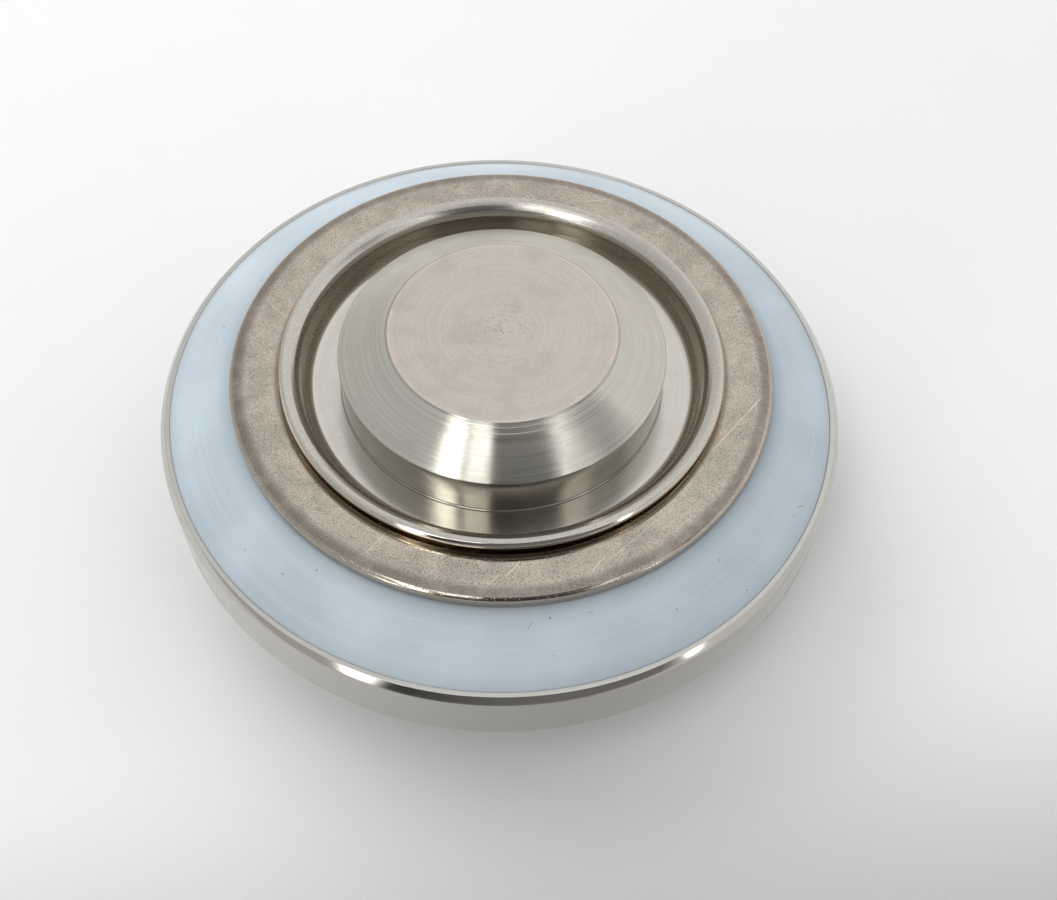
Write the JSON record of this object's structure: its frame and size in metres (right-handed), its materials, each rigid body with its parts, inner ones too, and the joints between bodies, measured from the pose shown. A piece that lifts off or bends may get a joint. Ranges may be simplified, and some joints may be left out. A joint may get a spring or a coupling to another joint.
{
  "type": "wafer check valve",
  "caption": "Thin wafer check valve: a steel ring with a soft seat, closed by a sprung disc that lifts straight up on a guided stem.",
  "frame": {"origin": "centre of the valve's circular plan, at the underside of the guide cage's foot ring", "axes": "+Z along the valve axis in the flow direction, from the guide cage towards the disc boss; +X and +Y each pass through a cage screw, halfway between two cage arms"},
  "size_m": [0.092, 0.092, 0.0358],
  "materials": {
    "body_ring": "fine turned and lightly polished stainless steel",
    "seat_ring": "pale blue, milky translucent, soft gloss",
    "disc_plate": "pickled stainless sheet, fine grained, with light scratches",
    "disc_cup": "pressed and spun stainless steel, bright",
    "disc_boss": "turned stainless steel with visible tool rings",
    "disc_carrier": "turned stainless steel",
    "guide_cage": "investment cast stainless steel, bead blasted",
    "guide_bush": "off-white low-friction polymer",
    "stem": "ground stainless steel",
    "fasteners": "plain stainless steel",
    "spring": "drawn stainless spring wire",
    "seals": "black elastomer"
  },
  "bodies": {
    "valve_body": {"body_ring": "body_ring", "seat_ring": "seat_ring", "seat_o_ring": "seals", "guide_cage": "guide_cage", "guide_bush": "guide_bush", "cage_screw_1": "fasteners", "cage_screw_2": "fasteners", "cage_screw_3": "fasteners", "cage_screw_4": "fasteners", "closing_spring": "spring"},
    "disc_assembly": {"disc_plate": "disc_plate", "disc_cup": "disc_cup", "disc_boss": "disc_boss", "disc_carrier": "disc_carrier", "plate_o_ring": "seals", "boss_o_ring": "seals", "stem": "stem", "disc_lock_washer": "fasteners", "disc_nut": "fasteners", "spring_retainer": "fasteners", "retainer_clip": "spring"}
  },
  "joints": [
    {"name": "disc_lift", "type": "slide", "parent": "valve_body", "child": "disc_assembly", "axis": [0, 0, 1], "range_m": [0, 0.0055], "stiffness_N_per_m": 500, "springref_m": -0.012, "deforming": ["closing_spring"]}
  ]
}
